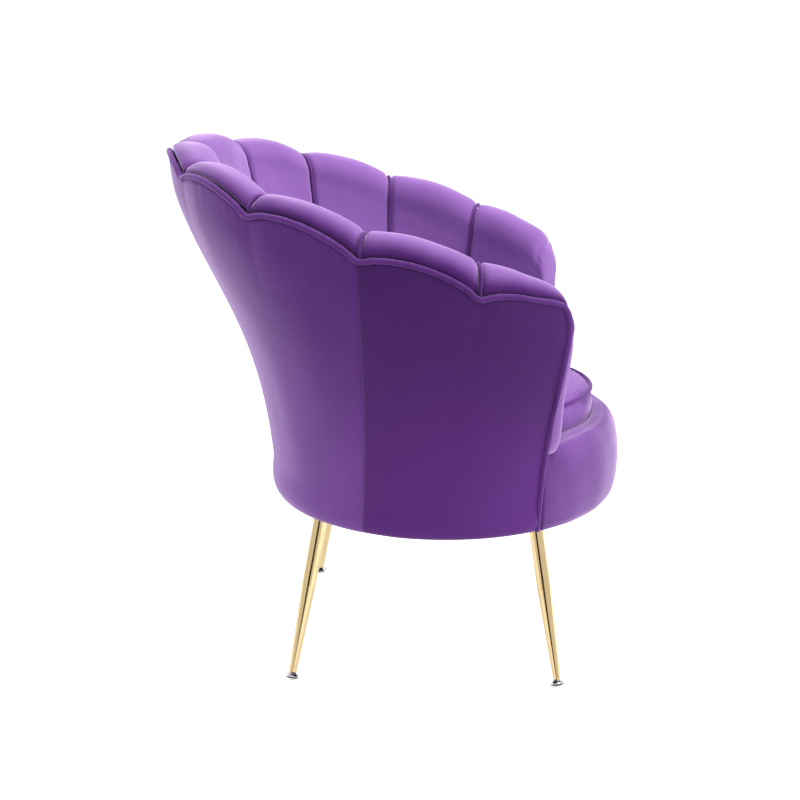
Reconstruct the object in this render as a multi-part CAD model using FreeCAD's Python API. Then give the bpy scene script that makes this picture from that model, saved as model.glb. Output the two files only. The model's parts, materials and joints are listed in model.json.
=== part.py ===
import FreeCAD, Part
import math
import os

# Scallop back chair: a flared tub of ten stuffed channels around a loose round cushion,
# on a sprung seat frame with four splayed tube legs and screw-in levelling glides.
# Millimetres. The origin is on the floor under the middle of the chair's overall box.
# The front of the chair is -Y, up is +Z, and the left side is -X.

# Tub, outer skin
BODY_BOTTOM = 232.0
BASE_CENTRE_Y = -70.0
BASE_HALF_WIDTH = 277.0
BASE_HALF_DEPTH = 253.0
RIM_HALF_WIDTH = 348.0
RIM_HALF_DEPTH = 330.0
RIM_MID_HEIGHT = 619.0
RIM_SLOPE = 0.329
ARM_TIP_SPREAD = 53.0
ARM_TIP_SETBACK = 9.0
CHANNELS_PER_SIDE = 5
BACK_PANEL_CHANNELS = 3
SECTIONS_PER_CHANNEL = 4

# Scalloped rim and padded channels
CORD_RISE = 18.0
ARM_TIP_RISE = 0.35
ROLL_RISE = 12.0
ROLL_HEIGHT = 37.0
ROLL_HEIGHT_SLOPE = 0.056
WALL_AT_RIM = 62.0
WALL_AT_DECK = 62.0
WALL_AT_ARM = 48.0
CHANNEL_PUFF = 9.0
FACING_REACH = 0.11
FACING_ROUND = 16.0
FACING_SPREAD = 14.0
FACING_RAISE = 8.0
SEAT_OF_ROLL = 4.0

# Layers of the wall, from the outside in
COVER_THICK = 3.0
LINER_THICK = 2.5
POST_DEPTH = 20.0
SHELL_THICK = 4.0
RAIL_HEIGHT = 24.0
FIT_GAP = 0.4
POST_GAP = 0.7

# Welt cords
RIM_CORD = 7.0
CHANNEL_CORD = 4.8
CUSHION_CORD = 6.0
SEAM_CORD_GAP = 1.2
RIM_CORD_GAP = 1.1
RIM_CORD_STATIONS = 8
ARM_CORD_TURN = 8.0
ARM_CORD_BACK = 0.05

# Seat frame
RING_THICK = 18.0
RING_WIDTH = 88.0
UPPER_RING_INSET = 30.0
UPPER_RING_WIDTH = 62.0
FRAME_GAP = 42.0
DUST_COVER_THICK = 0.8
DUST_COVER_INSET = 9.0
BLOCK_ANGLES = (32.0, 148.0, 212.0, 328.0)
BLOCK_SIZE = 44.0

# Springs and deck
SPRING_COUNT = 4
SPRING_SPACING = 78.0
SPRING_WIRE = 4.0
SPRING_WIDTH = 50.0
SPRING_BITE = 10.0
SPRING_BENDS = 7
CLIP_LENGTH = 20.0
CLIP_WIDTH = 30.0
CLIP_WALL = 1.5
DECK_TOP = 340.0
DECK_SHEET_THICK = 1.5
DECK_INSET = 31.5

# Padded front border
BORDER_BULGE = 13.0
BORDER_TOP = 352.0
BORDER_END_DROP = 14.0
BORDER_LIP = 23.0
BORDER_HALF_ANGLE = 55.4
BORDER_COVER_THICK = 3.0
BORDER_SECTIONS = 12
FRONT_RAIL_THICK = 18.0

# Loose cushion
CUSHION_SIDE_GAP = 8.0
CUSHION_BACK_GAP = 2.0
CUSHION_FRONT_GAP = 3.0
CUSHION_BAND = 46.0
CUSHION_CROWN = 20.0
CUSHION_COVER_THICK = 2.0
CUSHION_REST_GAP = 0.5
ZIP_ANGLE = 80.0
ZIP_WIDTH = 9.0

# Legs and glides
LEG_SIDE_INSET = 112.0
LEG_REAR_INSET = 80.5
LEG_FRONT_INSET = 118.0
LEG_REAR_SPLAY = (60.0, 40.5)
LEG_FRONT_SPLAY = (70.0, -36.0)
LEG_DIAMETER = 20.5
LEG_FOOT_DIAMETER = 11.0
LEG_WALL = 1.5
LEG_TAPER_SHARE = 0.55
PLATE_LENGTH = 60.0
PLATE_WIDTH = 48.0
PLATE_THICK = 3.0
PLATE_OVERHANG = 15.0
PLATE_CORNER = 4.0
SCREW_DIAMETER = 4.5
SCREW_HEAD = 9.0
SCREW_HEAD_HEIGHT = 2.2
SCREW_DEPTH = 14.0
SCREW_INSET = 7.0
SCREW_HOLE_GAP = 0.2
GLIDE_DIAMETER = 21.0
GLIDE_RIM = 1.6
GLIDE_CONE_HEIGHT = 4.5
GLIDE_NECK = 8.0
SOLE_DIAMETER = 18.0
SOLE_HEIGHT = 3.6
SOLE_DOME = 24.0
SOLE_FLAT = 0.25
STEM_DIAMETER = 5.0
STEM_LENGTH = 22.0
STEM_CLEARANCE = 0.1
INSERT_LENGTH = 14.0

# Derived places
WALL_BACK = COVER_THICK + LINER_THICK + POST_DEPTH + SHELL_THICK + 4 * FIT_GAP
LINER_FACE = COVER_THICK + FIT_GAP
POST_FACE = LINER_FACE + LINER_THICK + FIT_GAP
SHELL_FACE = POST_FACE + POST_DEPTH + FIT_GAP
RING_BOTTOM = BODY_BOTTOM + DUST_COVER_THICK + 1.2
RING_TOP = RING_BOTTOM + RING_THICK
UPPER_RING_BOTTOM = RING_TOP + FRAME_GAP
UPPER_RING_TOP = UPPER_RING_BOTTOM + RING_THICK
LEG_TOP_Z = RING_BOTTOM - PLATE_THICK
SPRING_Z = UPPER_RING_TOP + SPRING_WIRE / 2
DECK_SHEET_Z = SPRING_Z + SPRING_WIRE / 2 + CLIP_WALL + 2 * FIT_GAP
TIP = float(CHANNELS_PER_SIDE)
LEG_TOP_X = BASE_HALF_WIDTH - LEG_SIDE_INSET
LEG_REAR_TOP_Y = BASE_CENTRE_Y + BASE_HALF_DEPTH - LEG_REAR_INSET
LEG_FRONT_TOP_Y = BASE_CENTRE_Y - BASE_HALF_DEPTH + LEG_FRONT_INSET
CUSHION_ACROSS = 2 * (BASE_HALF_WIDTH - WALL_AT_DECK - CUSHION_SIDE_GAP)
CUSHION_ALONG = 2 * BASE_HALF_DEPTH - WALL_AT_DECK - CUSHION_BACK_GAP - BORDER_LIP - CUSHION_FRONT_GAP
CUSHION_RADIUS = min(CUSHION_ACROSS, CUSHION_ALONG) / 2
CUSHION_CENTRE_Y = BASE_CENTRE_Y + BASE_HALF_DEPTH - WALL_AT_DECK - CUSHION_BACK_GAP - CUSHION_RADIUS


def vec(x, y, z):
    return FreeCAD.Vector(x, y, z)


def turn_sin(degrees):
    return math.sin(math.radians(degrees))


def turn_cos(degrees):
    return math.cos(math.radians(degrees))


# The wall is laid out along u, which counts channels from the centre back seam:
# 0 is that seam, each whole number is a seam, and plus or minus 5 is the front of an arm.

def base_point(u):
    angle = 20.0 * u + 0.18 * u ** 3
    return vec(BASE_HALF_WIDTH * turn_sin(angle), BASE_CENTRE_Y + BASE_HALF_DEPTH * turn_cos(angle), 0)


def rim_point(u):
    angle = 28.0 * u
    forward = max(0.0, (abs(u) - 3.0) / 2.0) ** 3
    x = RIM_HALF_WIDTH * turn_sin(angle) + math.copysign(ARM_TIP_SPREAD * forward, u)
    return vec(x, RIM_HALF_DEPTH * turn_cos(angle) + ARM_TIP_SETBACK * forward, 0)


def outward(u):
    angle = 28.8 * u - 0.21 * u ** 3
    return vec(turn_sin(angle), turn_cos(angle), 0)


def valley_height(u):
    return RIM_MID_HEIGHT + RIM_SLOPE * rim_point(u).y


def flare(t):
    return 0.3 * t + 0.7 * math.sin(0.5 * math.pi * max(t, 0.0) ** 1.55) ** 2


def skin(u, z, depth):
    """A point `depth` inside the outer skin, at channel place u and height z."""
    base = base_point(u)
    lean = rim_point(u) - base
    t = (z - BODY_BOTTOM) / (valley_height(u) - BODY_BOTTOM)
    away = outward(u)
    point = base + lean * t + away * ((flare(t) - t) * lean.dot(away) - depth)
    return vec(point.x, point.y, z)


def scallop(u):
    """0 at each seam and at the arm's front, 1 in the middle of a channel."""
    across = abs(u) % 1.0
    if abs(u) >= TIP:
        return 0.0
    if abs(u) > TIP - 0.5:
        forward = 2.0 * across - 1.0
        return (1.0 + ARM_TIP_RISE * forward) * math.sqrt(1.0 - forward ** 5)
    return math.sin(math.pi * across) ** 0.8


def puff(u):
    if abs(u) >= TIP:
        return 0.0
    return math.sin(math.pi * (abs(u) % 1.0)) ** 0.8


def cord_height(u):
    return valley_height(u) + CORD_RISE * scallop(u)


def roll_top(u):
    return valley_height(u) + ROLL_HEIGHT - ROLL_HEIGHT_SLOPE * rim_point(u).y + ROLL_RISE * scallop(u)


def wall(u, z):
    """Full thickness of the padded wall at height z."""
    share = min(1.0, max(0.0, (z - DECK_TOP) / (valley_height(u) - DECK_TOP)))
    low = WALL_AT_DECK + (WALL_AT_ARM - WALL_AT_DECK) * (abs(u) / TIP) ** 4
    return low + (WALL_AT_RIM - low) * share + CHANNEL_PUFF * puff(u)


def run_edge(u, run):
    points = [skin(u, z, depth) for depth, z in run]
    if len(points) == 2:
        return Part.makeLine(points[0], points[1])
    curve = Part.BSplineCurve()
    curve.interpolate(points)
    return curve.toShape()


def outline_wire(u, runs):
    return Part.Wire([run_edge(u, run) for run in runs])


def places(start, end, per_channel=SECTIONS_PER_CHANNEL):
    """Even stations along the wall, with two more where the rim turns down at an arm's tip."""
    count = max(1, round(abs(end - start) * per_channel))
    stations = [start + (end - start) * i / count for i in range(count + 1)]
    if abs(end - start) == 1 and max(abs(start), abs(end)) == TIP:
        side = math.copysign(1.0, start + end)
        extra = [side * (TIP - 0.1), side * (TIP - 0.03)]
        stations = sorted(stations + extra, reverse=end < start)
    return stations


def wall_loft(start, end, outline, per_channel=SECTIONS_PER_CHANNEL):
    wires = [outline_wire(u, outline(u)) for u in places(start, end, per_channel)]
    return Part.makeLoft(wires, True, False)


def joined(solids):
    body = solids[0].multiFuse(solids[1:])
    return body.Solids[0] if len(body.Solids) == 1 else body


def channel_by_channel(start, end, outline):
    """One solid over several channels, with a crease at each seam."""
    step = int(math.copysign(1, end - start))
    return joined([wall_loft(u, u + step, outline) for u in range(start, end, step)])


def layer(outer, inner, bottom, top):
    """Outline of a sheet in the wall; top is a function of u."""
    def outline(u):
        high = top(u)
        levels = [bottom + (high - bottom) * i / 5.0 for i in range(6)]
        return [
            [(outer, z) for z in levels],
            [(outer, high), (inner, high)],
            [(inner, z) for z in reversed(levels)],
            [(inner, bottom), (outer, bottom)],
        ]
    return outline


def sheet_top(u):
    return cord_height(u) - RIM_CORD / 2 - FIT_GAP


def rail_top(u):
    return valley_height(u) - RIM_CORD / 2 - FIT_GAP - 2.0


# Outer covers, liner, rail, posts and inner shell

def outer_cover(start, end):
    return channel_by_channel(start, end, layer(0.0, COVER_THICK, BODY_BOTTOM, sheet_top))


def outer_liner():
    face = LINER_FACE
    return channel_by_channel(-CHANNELS_PER_SIDE, CHANNELS_PER_SIDE,
                              layer(face, face + LINER_THICK, RING_BOTTOM, sheet_top))


def inner_shell():
    face = SHELL_FACE
    outline = layer(face, face + SHELL_THICK, UPPER_RING_TOP + FIT_GAP, rail_top)
    return wall_loft(-TIP, TIP, outline)


def rim_rail():
    def outline(u):
        top = rail_top(u)
        low = top - RAIL_HEIGHT
        outer = POST_FACE + POST_GAP
        inner = POST_FACE + POST_DEPTH - POST_GAP
        return [
            [(outer, low), (outer, top)],
            [(outer, top), (inner, top)],
            [(inner, top), (inner, low)],
            [(inner, low), (outer, low)],
        ]
    return wall_loft(-TIP, TIP, outline)


def post(middle, half_width=0.11):
    start = max(-TIP, middle - half_width)
    end = min(TIP, middle + half_width)
    outer = POST_FACE + POST_GAP
    inner = POST_FACE + POST_DEPTH - POST_GAP
    outline = layer(outer, inner, RING_TOP, lambda u: rail_top(u) - RAIL_HEIGHT - FIT_GAP)
    stations = (start, (start + end) / 2, end)
    return Part.makeLoft([outline_wire(u, outline(u)) for u in stations], True, False)


# Stuffed channels: each wraps from the deck, up the inside and over the rail to the rim cord

def roll_run(u):
    """The visible side of a channel, from the rim cord over the roll and down to the deck."""
    cord = cord_height(u)
    top = roll_top(u)
    thick = wall(u, top)
    low = valley_height(u) - 12.0
    levels = [low - (low - DECK_TOP - FIT_GAP) * i / 4.0 for i in range(5)]
    start = cord + SEAT_OF_ROLL
    crown = [
        (POST_FACE + POST_GAP, start),
        (4.5, start + 0.4 * (top - start)),
        (12.0, start + 0.8 * (top - start)),
        (0.5 * thick, top),
        (thick - 12.0, top - 8.0),
        (thick - 2.0, top - 22.0),
    ]
    return crown + [(wall(u, z), z) for z in levels]


def channel_outline(u):
    roll = roll_run(u)
    deck = DECK_TOP + FIT_GAP
    over_rail = rail_top(u) + FIT_GAP
    back = [(WALL_BACK + LINER_FACE - COVER_THICK, deck + (over_rail - deck) * i / 4.0) for i in range(5)]
    outer = POST_FACE + POST_GAP
    return [
        roll,
        [roll[-1], back[0]],
        back,
        [back[-1], (outer, over_rail)],
        [(outer, over_rail), roll[0]],
    ]


def channel_pad(side, number):
    return wall_loft(side * (number - 1), side * number, channel_outline)


def arm_facing(side):
    """Rounded foam end of the arm, ahead of the front post."""
    roll = roll_run(side * TIP)
    deep = roll[-1][0] + FACING_SPREAD

    def outline(inset):
        squeezed = []
        for depth, z in roll:
            depth = min(max(depth, POST_FACE + POST_GAP + inset), deep - inset)
            squeezed.append((depth, z - (inset if z > valley_height(TIP) else 0.0)))
        start = squeezed[0]
        end = (squeezed[-1][0], squeezed[-1][1] + FACING_RAISE)
        squeezed[-1] = end
        levels = [end[1] + (start[1] - end[1]) * i / 4.0 for i in range(5)]
        return [squeezed, [end, (start[0], end[1])], [(start[0], z) for z in levels]]

    wires = []
    for turn in (0.0, 30.0, 60.0, 80.0):
        ahead = FACING_REACH * turn_sin(turn)
        inset = FACING_ROUND * (1.0 - turn_cos(turn))
        wires.append(outline_wire(side * (TIP + ahead), outline(inset)))
    return Part.makeLoft(wires, True, False)


# Welt cords

def bent_path(points):
    """Straight runs through points, joined by tangent arcs as large as the runs allow."""
    edges = []
    start = points[0]
    for before, corner, after in zip(points, points[1:], points[2:]):
        back = before - corner
        ahead = after - corner
        reach = 0.45 * min(back.Length, ahead.Length)
        back.normalize()
        ahead.normalize()
        middle = back + ahead
        middle.normalize()
        half_turn = math.acos(max(-1.0, min(1.0, -back.dot(ahead)))) / 2
        radius = reach / math.tan(half_turn)
        enter = corner + back * reach
        leave = corner + ahead * reach
        top = corner + middle * (radius / math.cos(half_turn) - radius)
        edges.append(Part.LineSegment(start, enter).toShape())
        edges.append(Part.Arc(enter, top, leave).toShape())
        start = leave
    edges.append(Part.LineSegment(start, points[-1]).toShape())
    return Part.Wire(edges)


def wall_normal(u):
    """Normal of the section plane at u, pointing towards larger u."""
    lean = rim_point(u) - base_point(u)
    rise = vec(lean.x, lean.y, valley_height(u) - BODY_BOTTOM)
    normal = rise.cross(outward(u))
    normal.normalize()
    return normal


def along_arm_front(z):
    """Millimetres of wall per channel at the front of an arm, at height z."""
    step = 0.02
    return (skin(TIP, z, 0.0) - skin(TIP - step, z, 0.0)).Length / step


def rim_cord_side(side):
    """Points of the rim cord from the centre back seam to the foot of one arm."""
    lift = RIM_CORD / 2 + RIM_CORD_GAP
    last = RIM_CORD_STATIONS * CHANNELS_PER_SIDE - 1
    points = []
    for i in range(last + 1):
        u = side * i / RIM_CORD_STATIONS
        points.append(skin(u, sheet_top(u) + lift, COVER_THICK / 2))
    u = side * (TIP - ARM_CORD_BACK)
    points.append(skin(u, sheet_top(u) + 1.5 * lift, COVER_THICK / 2))
    top = cord_height(TIP) + ARM_CORD_TURN
    for share in (0.0, 0.08, 0.24, 0.43, 0.62, 0.81, 1.0):
        z = top + (BODY_BOTTOM - top) * share
        ahead = (RIM_CORD / 2 + FIT_GAP) / along_arm_front(z)
        points.append(skin(side * (TIP + ahead), z, COVER_THICK / 2))
    return points


def rim_cord():
    left = rim_cord_side(-1)
    right = rim_cord_side(1)
    path = bent_path(list(reversed(left[1:])) + right)
    tangent = left[-1] - left[-2]
    section = Part.Wire(Part.Circle(left[-1], tangent, RIM_CORD / 2).toShape())
    return path.makePipeShell([section], True, False)


def channel_cord(u):
    """Cord sewn in the seam between two channels, over the roll and down to the deck."""
    lift = CHANNEL_CORD / 2 + SEAM_CORD_GAP
    seam = [skin(u, z, depth) for depth, z in roll_run(u)]
    normal = wall_normal(u)
    if normal.cross(seam[4] - seam[2]).z < 0:
        normal = normal * -1.0
    points = []
    for i in range(1, len(seam)):
        tangent = seam[min(i + 1, len(seam) - 1)] - seam[i - 1]
        tangent.normalize()
        points.append(seam[i] + normal.cross(tangent) * lift)
    curve = Part.BSplineCurve()
    curve.interpolate(points)
    start = Part.Circle(points[0], curve.tangent(curve.FirstParameter)[0], CHANNEL_CORD / 2)
    pipe = Part.BRepOffsetAPI.MakePipeShell(Part.Wire(curve.toShape()))
    pipe.setBiNormalMode(normal)
    pipe.add(Part.Wire(start.toShape()))
    pipe.build()
    pipe.makeSolid()
    return pipe.shape()


# Seat frame

def plate_ellipse(half_width, half_depth, bottom, thick):
    centre = vec(0, BASE_CENTRE_Y, bottom)
    ends = [centre + vec(half_width, 0, 0), centre + vec(0, half_depth, 0)]
    if half_depth > half_width:
        ends.reverse()
    curve = Part.Ellipse(ends[0], ends[1], centre)
    return Part.Face(Part.Wire(curve.toShape())).extrude(vec(0, 0, thick))


def seat_ring(inset, width, bottom, thick):
    outer = plate_ellipse(BASE_HALF_WIDTH - inset, BASE_HALF_DEPTH - inset, bottom, thick)
    inner = plate_ellipse(BASE_HALF_WIDTH - inset - width, BASE_HALF_DEPTH - inset - width, bottom, thick)
    return outer.cut(inner)


def base_place(angle, inset, z):
    """Point on the base outline, `inset` inside it, at an angle from the back."""
    along = vec(BASE_HALF_DEPTH * turn_sin(angle), BASE_HALF_WIDTH * turn_cos(angle), 0)
    along.normalize()
    x = BASE_HALF_WIDTH * turn_sin(angle)
    y = BASE_CENTRE_Y + BASE_HALF_DEPTH * turn_cos(angle)
    return vec(x - inset * along.x, y - inset * along.y, z)


def frame_blocks():
    inset = UPPER_RING_INSET + UPPER_RING_WIDTH / 2
    blocks = []
    for angle in BLOCK_ANGLES:
        block = Part.makeBox(BLOCK_SIZE, BLOCK_SIZE, FRAME_GAP, vec(-BLOCK_SIZE / 2, -BLOCK_SIZE / 2, 0))
        block.rotate(vec(0, 0, 0), vec(0, 0, 1), -angle)
        block.translate(base_place(angle, inset, RING_TOP))
        blocks.append(block)
    return Part.makeCompound(blocks)


def border_loft(section, half_angle, count=BORDER_SECTIONS):
    """Loft round the front of the base; section(v) gives (outward, z) runs for v from -1 to 1."""
    wires = []
    for i in range(count + 1):
        v = -1.0 + 2.0 * i / count
        edges = []
        for run in section(v):
            points = [base_place(180.0 + half_angle * v, -out, z) for out, z in run]
            if len(points) == 2:
                edges.append(Part.makeLine(points[0], points[1]))
            else:
                curve = Part.BSplineCurve()
                curve.interpolate(points)
                edges.append(curve.toShape())
        wires.append(Part.Wire(edges))
    return Part.makeLoft(wires, True, False)


def border_face(v, sunk):
    """Outer face of the front border, `sunk` below its skin, from the bottom to its inner lip."""
    bulge = BORDER_BULGE * (1.0 - 0.8 * abs(v) ** 8)
    top = BORDER_TOP - BORDER_END_DROP * abs(v) ** 6
    rise = top - BODY_BOTTOM
    return [
        (-sunk, BODY_BOTTOM + 0.0),
        (0.75 * bulge - sunk, BODY_BOTTOM + 0.16 * rise),
        (bulge - sunk, BODY_BOTTOM + 0.42 * rise),
        (0.85 * bulge - sunk, BODY_BOTTOM + 0.70 * rise),
        (0.25 * bulge - 0.75 * sunk, BODY_BOTTOM + 0.90 * rise - 0.4 * sunk),
        (-0.35 * BORDER_LIP, top - sunk),
        (-0.75 * BORDER_LIP, top - 3.5 - sunk),
        (-BORDER_LIP, top - 9.0 - sunk),
    ]


def front_border_cover():
    def section(v):
        outer = border_face(v, 0.0)
        inner = border_face(v, BORDER_COVER_THICK)
        return [outer, [outer[-1], inner[-1]], list(reversed(inner)), [inner[0], outer[0]]]
    return border_loft(section, BORDER_HALF_ANGLE)


def front_border_foam():
    def section(v):
        outer = border_face(v, BORDER_COVER_THICK + FIT_GAP)
        outer[0] = (outer[0][0], RING_BOTTOM)
        shelf = UPPER_RING_TOP + FIT_GAP
        back = -POST_FACE + FIT_GAP
        end = outer[-1]
        return [
            outer,
            [end, (end[0], shelf)],
            [(end[0], shelf), (back, shelf)],
            [(back, shelf), (back, RING_BOTTOM)],
            [(back, RING_BOTTOM), outer[0]],
        ]
    return border_loft(section, BORDER_HALF_ANGLE - 0.3)


def front_rail():
    face = -POST_FACE - 2 * FIT_GAP
    inner = face - FRONT_RAIL_THICK

    def section(v):
        return [
            [(face, RING_TOP), (face, UPPER_RING_TOP)],
            [(face, UPPER_RING_TOP), (inner, UPPER_RING_TOP)],
            [(inner, UPPER_RING_TOP), (inner, RING_TOP)],
            [(inner, RING_TOP), (face, RING_TOP)],
        ]
    return border_loft(section, BORDER_HALF_ANGLE - 3.0)


# Springs, clips and deck

def spring_places():
    half = (SPRING_COUNT - 1) / 2.0
    return [SPRING_SPACING * (i - half) for i in range(SPRING_COUNT)]


def spring_end(x):
    """How far from the middle of the seat a spring's end is held: on the upper ring."""
    inset = UPPER_RING_INSET + UPPER_RING_WIDTH
    across = x / (BASE_HALF_WIDTH - inset)
    return (BASE_HALF_DEPTH - inset) * math.sqrt(1.0 - across ** 2) + SPRING_BITE


def zigzag_spring(x):
    """One flat zigzag spring from the back of the seat to the front."""
    bend = spring_end(x) / (2 * SPRING_BENDS - 1)
    reach = SPRING_WIDTH / 2 - bend
    side = 1
    edges = []
    for i in range(2 * SPRING_BENDS):
        y = BASE_CENTRE_Y + bend * (2 * SPRING_BENDS - 1 - 2 * i)
        left = vec(x - reach, y, SPRING_Z)
        right = vec(x + reach, y, SPRING_Z)
        first, second = (left, right) if side > 0 else (right, left)
        edges.append(Part.makeLine(first, second))
        if i < 2 * SPRING_BENDS - 1:
            turn = vec(second.x + side * bend, y - bend, SPRING_Z)
            edges.append(Part.Arc(second, turn, vec(second.x, y - 2 * bend, SPRING_Z)).toShape())
        side = -side
    path = Part.Wire(edges)
    section = Part.Wire(Part.Circle(edges[0].Vertexes[0].Point, vec(1, 0, 0), SPRING_WIRE / 2).toShape())
    return path.makePipeShell([section], True, False)


def spring_clip(x, y):
    """Bent steel clip that holds the end of a spring down on the upper ring."""
    low = UPPER_RING_TOP
    high = DECK_SHEET_Z - FIT_GAP
    outer = Part.makeBox(CLIP_WIDTH, CLIP_LENGTH, high - low, vec(x - CLIP_WIDTH / 2, y - CLIP_LENGTH / 2, low))
    tunnel = SPRING_WIRE + FIT_GAP
    inner = Part.makeBox(CLIP_WIDTH, CLIP_LENGTH - 2 * CLIP_WALL, tunnel,
                         vec(x - CLIP_WIDTH / 2, y - CLIP_LENGTH / 2 + CLIP_WALL, low))
    return outer.cut(inner)


def spring_clips():
    clips = []
    for x in spring_places():
        for y in (BASE_CENTRE_Y - spring_end(x), BASE_CENTRE_Y + spring_end(x)):
            clips.append(spring_clip(x, y))
    return Part.makeCompound(clips)


def deck_plate(bottom, thick):
    return plate_ellipse(BASE_HALF_WIDTH - DECK_INSET, BASE_HALF_DEPTH - DECK_INSET, bottom, thick)


def dust_cover():
    cover = plate_ellipse(BASE_HALF_WIDTH - DUST_COVER_INSET, BASE_HALF_DEPTH - DUST_COVER_INSET,
                          BODY_BOTTOM + 0.3, DUST_COVER_THICK)
    for leg in leg_lines():
        cover = cover.cut(leg_plate(leg, 1.0, False))
    return cover


# Legs, plates, screws and glides

def leg_lines():
    """Name, point on the floor and point at the top of each leg's axis."""
    legs = []
    for side, name in ((-1, "left"), (1, "right")):
        for y, splay, end in ((LEG_REAR_TOP_Y, LEG_REAR_SPLAY, "rear"), (LEG_FRONT_TOP_Y, LEG_FRONT_SPLAY, "front")):
            top = vec(side * LEG_TOP_X, y, LEG_TOP_Z)
            foot = vec(side * (LEG_TOP_X + splay[0]), y + splay[1], 0)
            legs.append(("%s_%s" % (end, name), foot, top))
    return legs


def revolved(profile):
    """Solid turned about Z from (radius, z) points."""
    points = [vec(radius, 0, z) for radius, z in profile]
    face = Part.Face(Part.makePolygon(points + [points[0]]))
    return face.revolve(vec(0, 0, 0), vec(0, 0, 1), 360)


def stood_on(leg, shape):
    """Turn a shape from the Z axis on to the leg's axis, with its zero at the foot point."""
    name, foot, top = leg
    lean = FreeCAD.Rotation(vec(0, 0, 1), top - foot)
    placed = shape.copy()
    placed.Placement = FreeCAD.Placement(foot, lean)
    return placed


def dome_centre(leg):
    """Distance up the axis from the floor point to the centre of the sole's dome."""
    name, foot, top = leg
    axis = top - foot
    return (SOLE_DOME - SOLE_FLAT) * axis.Length / axis.z


def sole_bottom(leg):
    return dome_centre(leg) - math.sqrt(SOLE_DOME ** 2 - (SOLE_DIAMETER / 2) ** 2)


def sole_top(leg):
    return dome_centre(leg) - SOLE_DOME + SOLE_HEIGHT


def leg_foot_end(leg):
    return sole_top(leg) + GLIDE_RIM + GLIDE_CONE_HEIGHT + FIT_GAP


def glide_sole(leg):
    """Dark moulded sole, domed so that a splayed leg meets the floor on a small flat."""
    centre = dome_centre(leg)
    ball = Part.makeSphere(SOLE_DOME, vec(0, 0, centre))
    top = sole_top(leg)
    body = Part.makeCylinder(SOLE_DIAMETER / 2, SOLE_DOME, vec(0, 0, top - SOLE_DOME)).common(ball)
    placed = stood_on(leg, body)
    reach = SOLE_DIAMETER
    floor = Part.makeBox(2 * reach, 2 * reach, reach, vec(leg[1].x - reach, leg[1].y - reach, -reach))
    return placed.cut(floor)


def glide(leg):
    """Steel glide: a thin disc, a cone and the stem that screws into the foot."""
    low = sole_top(leg)
    cone = low + GLIDE_RIM
    neck = cone + GLIDE_CONE_HEIGHT
    return stood_on(leg, revolved([
        (0, low), (GLIDE_DIAMETER / 2 - 0.6, low), (GLIDE_DIAMETER / 2, low + GLIDE_RIM / 2),
        (GLIDE_DIAMETER / 2 - 0.6, cone), (GLIDE_NECK / 2, neck), (STEM_DIAMETER / 2, neck),
        (STEM_DIAMETER / 2, neck + STEM_LENGTH), (0, neck + STEM_LENGTH),
    ]))


def leg_tube(leg):
    """Steel tube, straight at the top and tapered to the foot, open inside."""
    name, foot, top = leg
    start = leg_foot_end(leg)
    length = (top - foot).Length
    taper_end = start + (length - start) * LEG_TAPER_SHARE
    end = length + LEG_DIAMETER
    foot_radius = LEG_FOOT_DIAMETER / 2
    radius = LEG_DIAMETER / 2
    tube_shape = revolved([
        (foot_radius, start), (radius, taper_end), (radius, end),
        (radius - LEG_WALL, end), (radius - LEG_WALL, taper_end), (foot_radius - LEG_WALL, start),
    ])
    reach = 2 * LEG_DIAMETER
    above = Part.makeBox(2 * reach, 2 * reach, reach, vec(top.x - reach, top.y - reach, LEG_TOP_Z))
    return stood_on(leg, tube_shape).cut(above)


def foot_insert(leg):
    """Threaded plug in the end of the tube."""
    start = leg_foot_end(leg)
    bore = STEM_DIAMETER / 2 + STEM_CLEARANCE
    radius = LEG_FOOT_DIAMETER / 2 - LEG_WALL
    return stood_on(leg, revolved([
        (bore, start), (radius, start), (radius, start + INSERT_LENGTH), (bore, start + INSERT_LENGTH),
    ]))


def outboard(leg):
    away = vec(leg[2].x, leg[2].y - BASE_CENTRE_Y, 0)
    away.normalize()
    return away


def in_plate(leg, shape):
    """Turn a shape whose X points outboard on to the leg's top."""
    away = outboard(leg)
    placed = shape.copy()
    placed.rotate(vec(0, 0, 0), vec(0, 0, 1), math.degrees(math.atan2(away.y, away.x)))
    placed.translate(vec(leg[2].x, leg[2].y, 0))
    return placed


def screw_places():
    near = PLATE_OVERHANG - SCREW_INSET
    far = PLATE_OVERHANG - PLATE_LENGTH + SCREW_INSET
    side = PLATE_WIDTH / 2 - SCREW_INSET
    return [(near, side), (near, -side), (far, side), (far, -side)]


def leg_plate(leg, margin=0.0, holes=True):
    low = vec(PLATE_OVERHANG - PLATE_LENGTH - margin, -PLATE_WIDTH / 2 - margin, LEG_TOP_Z)
    plate = Part.makeBox(PLATE_LENGTH + 2 * margin, PLATE_WIDTH + 2 * margin, PLATE_THICK, low)
    if holes:
        plate = plate.makeFillet(PLATE_CORNER, [edge for edge in plate.Edges if abs(edge.Length - PLATE_THICK) < 1e-6])
        for x, y in screw_places():
            plate = plate.cut(screw_hole(x, y))
    return in_plate(leg, plate)


def screw_hole(x, y):
    radius = SCREW_DIAMETER / 2 + SCREW_HOLE_GAP
    return Part.makeCylinder(radius, PLATE_THICK + SCREW_DEPTH + 1.0, vec(x, y, LEG_TOP_Z))


def leg_screws():
    screws = []
    for leg in leg_lines():
        for x, y in screw_places():
            shank = Part.makeCylinder(SCREW_DIAMETER / 2, PLATE_THICK + SCREW_DEPTH, vec(x, y, LEG_TOP_Z))
            head = Part.makeCone(SCREW_HEAD / 2 - 1.0, SCREW_HEAD / 2, SCREW_HEAD_HEIGHT,
                                 vec(x, y, LEG_TOP_Z - SCREW_HEAD_HEIGHT))
            screws.append(in_plate(leg, shank.fuse(head)))
    return Part.makeCompound(screws)


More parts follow.
